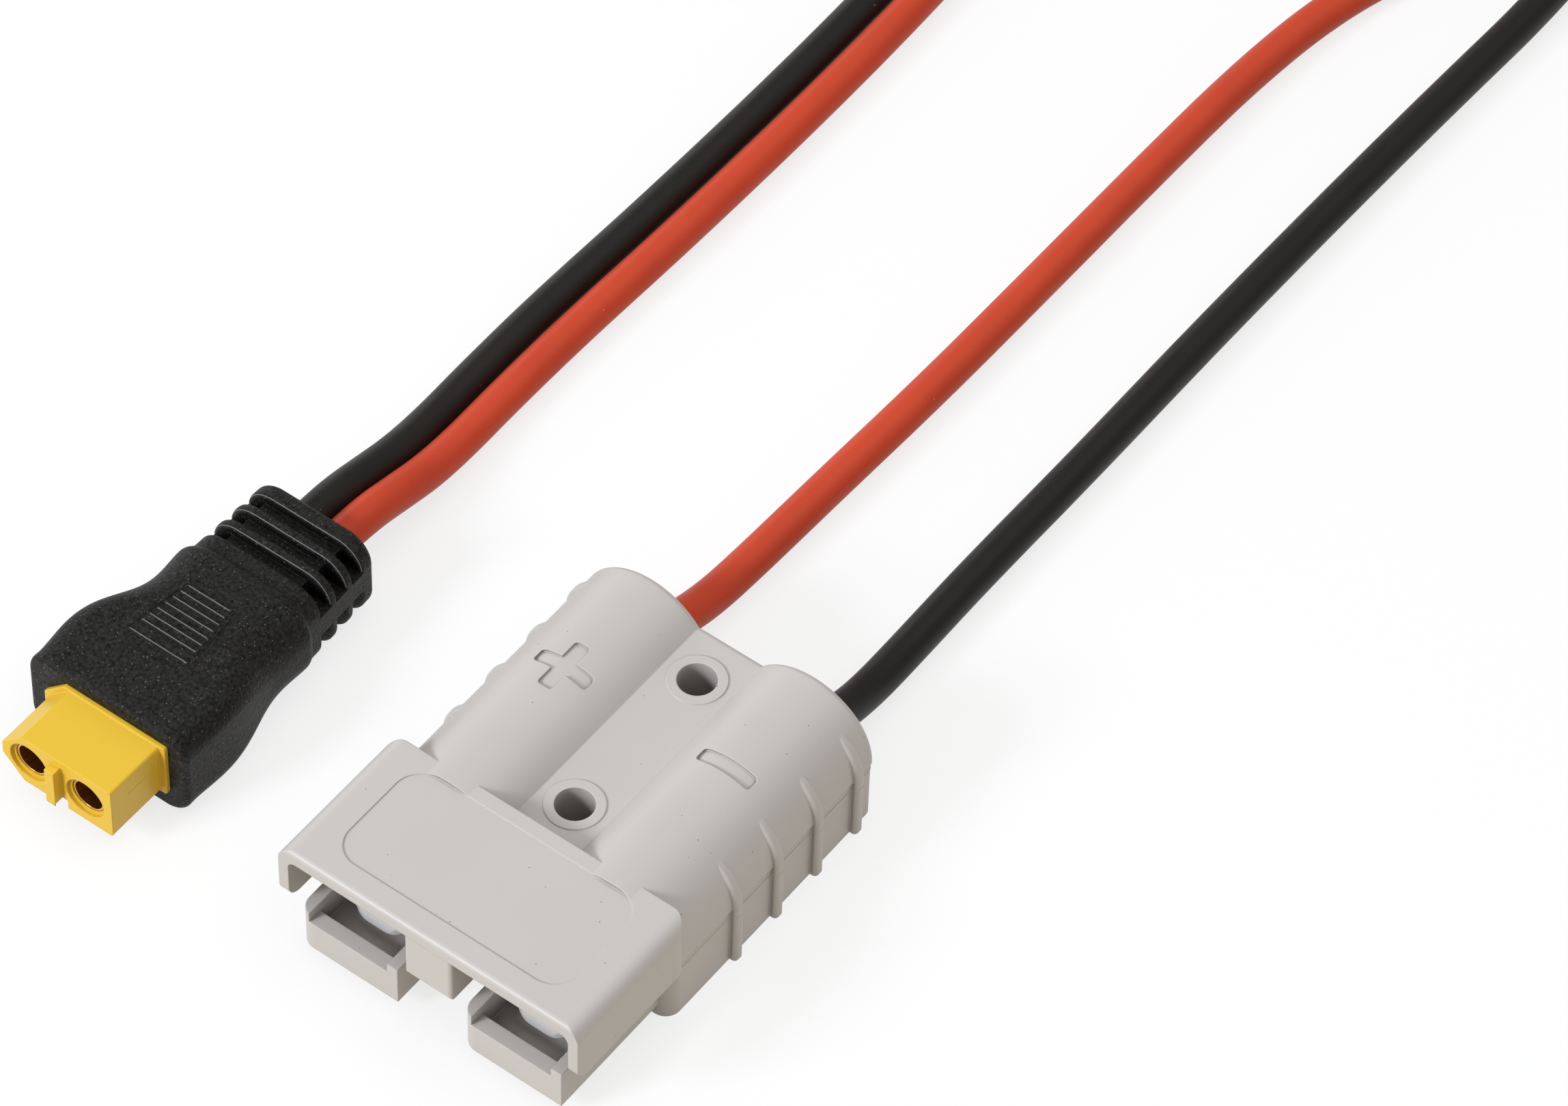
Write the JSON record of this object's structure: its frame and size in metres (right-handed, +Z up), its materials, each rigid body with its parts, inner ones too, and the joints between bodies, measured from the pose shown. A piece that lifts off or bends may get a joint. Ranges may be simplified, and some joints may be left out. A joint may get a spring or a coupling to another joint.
{
  "type": "battery cable",
  "caption": "Battery adapter cable: a hooded flat-contact housing joined by red and black leads to a round-socket plug with a ribbed strain relief.",
  "frame": {"origin": "midway between the mounting holes of the grey housing, in its bottom plane", "axes": "+X to the right, with the positive pole on the left; +Y out of the housing's rear, where the leads leave; the mating face looks toward -Y; +Z up, along the mounting holes"},
  "size_m": [0.0735, 0.2267, 0.0157],
  "materials": {
    "grey_plastic": "satin, fine texture",
    "silver_plate": "bright silver plate on copper",
    "spring_steel": "bright",
    "copper": "tinned where soldered",
    "red_insulation": "semi-gloss",
    "black_insulation": "semi-gloss",
    "solder": "bright",
    "gold_plate": "gold plate",
    "yellow_plastic": "satin",
    "black_moulding": "matt, fine grain"
  },
  "bodies": {
    "housing": {"grey_housing": "grey_plastic", "positive_contact_spring": "spring_steel", "negative_contact_spring": "spring_steel", "red_lead": "red_insulation", "black_lead": "black_insulation", "red_strands_in_socket": "copper", "black_strands_in_socket": "copper", "positive_solder": "solder", "negative_solder": "solder", "positive_socket": "gold_plate", "negative_socket": "gold_plate", "plug_body": "yellow_plastic", "strain_relief": "black_moulding"},
    "positive_contact": {"positive_contact": "silver_plate", "red_strands_in_contact": "copper"},
    "negative_contact": {"negative_contact": "silver_plate", "black_strands_in_contact": "copper"}
  },
  "joints": [
    {"name": "positive_contact_rock", "type": "hinge", "parent": "housing", "child": "positive_contact", "pos_m": [-0.01, 0.0005, 0.008], "axis": [1, 0, 0], "range_deg": [0, 2], "stiffness_Nm_per_rad": 5, "springref_deg": -1.15, "deforming": ["positive_contact_spring"]},
    {"name": "negative_contact_rock", "type": "hinge", "parent": "housing", "child": "negative_contact", "pos_m": [0.01, 0.0005, 0.008], "axis": [1, 0, 0], "range_deg": [0, 2], "stiffness_Nm_per_rad": 5, "springref_deg": -1.15, "deforming": ["negative_contact_spring"]}
  ]
}
